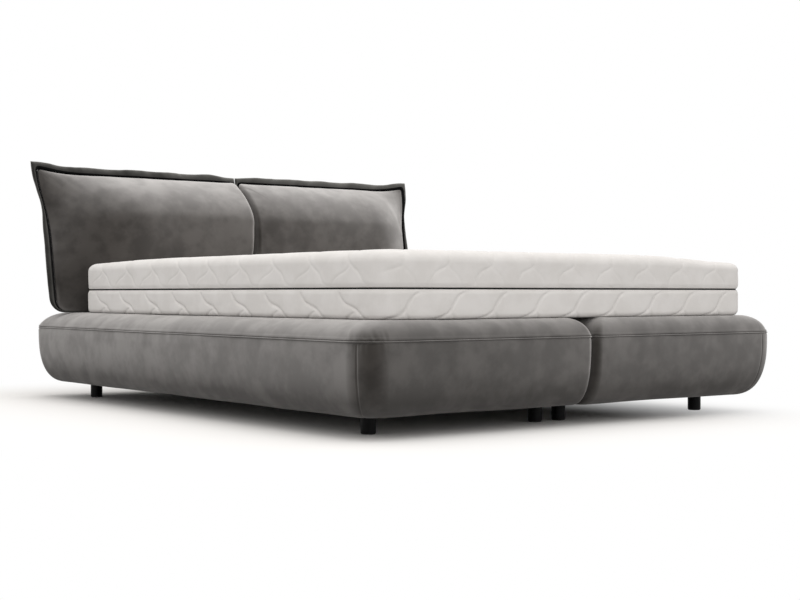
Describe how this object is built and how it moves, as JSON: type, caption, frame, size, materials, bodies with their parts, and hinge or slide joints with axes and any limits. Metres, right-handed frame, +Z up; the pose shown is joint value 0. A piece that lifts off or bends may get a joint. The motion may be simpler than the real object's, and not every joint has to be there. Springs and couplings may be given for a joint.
{
  "type": "double bed",
  "caption": "Upholstered double bed: padded velvet base in halves on short round legs, leaning flanged head cushions and a mattress in a zipped quilted cover.",
  "frame": {"origin": "on the floor, under the middle of the bed's outline", "axes": "+X to the right as seen from the foot, +Y towards the head, +Z up"},
  "size_m": [1.876, 2.3262, 0.9493],
  "materials": {
    "velvet": "short taupe-grey velvet with a soft sheen",
    "velvet_trim": "the same velvet, folded and sewn as flange and welt",
    "ticking": "warm white knitted ticking, quilted in leaf lines",
    "zip_tape": "black woven zip tape with plastic teeth",
    "foam": "cream upholstery foam",
    "timber": "planed softwood",
    "plywood": "birch plywood",
    "dust_cloth": "thin black nonwoven cloth",
    "leg_paint": "matte black powder coat",
    "steel": "zinc plated",
    "glide_plastic": "black plastic"
  },
  "bodies": {
    "base": {"left_outer_rail": "timber", "left_inner_rail": "timber", "left_foot_rail": "timber", "left_head_rail": "timber", "left_cross_rails": "timber", "left_glue_blocks": "timber", "left_deck_board": "plywood", "left_foam_pad": "foam", "left_foam_bolster": "foam", "left_top_panel": "velvet", "left_side_panel": "velvet", "left_welt": "velvet_trim", "left_dust_cover": "dust_cloth", "left_legs": "leg_paint", "left_leg_plates": "leg_paint", "left_leg_screws": "steel", "left_glides": "glide_plastic", "left_headboard_ply": "plywood", "left_headboard_foam": "foam", "left_headboard_front": "velvet", "left_headboard_back": "velvet", "left_headboard_flange": "velvet_trim", "left_brackets": "leg_paint", "left_bracket_bolts": "steel", "right_outer_rail": "timber", "right_inner_rail": "timber", "right_foot_rail": "timber", "right_head_rail": "timber", "right_cross_rails": "timber", "right_glue_blocks": "timber", "right_deck_board": "plywood", "right_foam_pad": "foam", "right_foam_bolster": "foam", "right_top_panel": "velvet", "right_side_panel": "velvet", "right_welt": "velvet_trim", "right_dust_cover": "dust_cloth", "right_legs": "leg_paint", "right_leg_plates": "leg_paint", "right_leg_screws": "steel", "right_glides": "glide_plastic", "right_headboard_ply": "plywood", "right_headboard_foam": "foam", "right_headboard_front": "velvet", "right_headboard_back": "velvet", "right_headboard_flange": "velvet_trim", "right_brackets": "leg_paint", "right_bracket_bolts": "steel", "link_plates": "leg_paint"},
    "mattress": {"mattress_core": "foam", "mattress_lower_cover": "ticking", "mattress_upper_cover": "ticking", "mattress_zip": "zip_tape"}
  },
  "joints": [
    {"name": "mattress_lift", "type": "slide", "parent": "base", "child": "mattress", "axis": [0, -0.9397, 0.342], "range_m": [0, 1.1]}
  ]
}
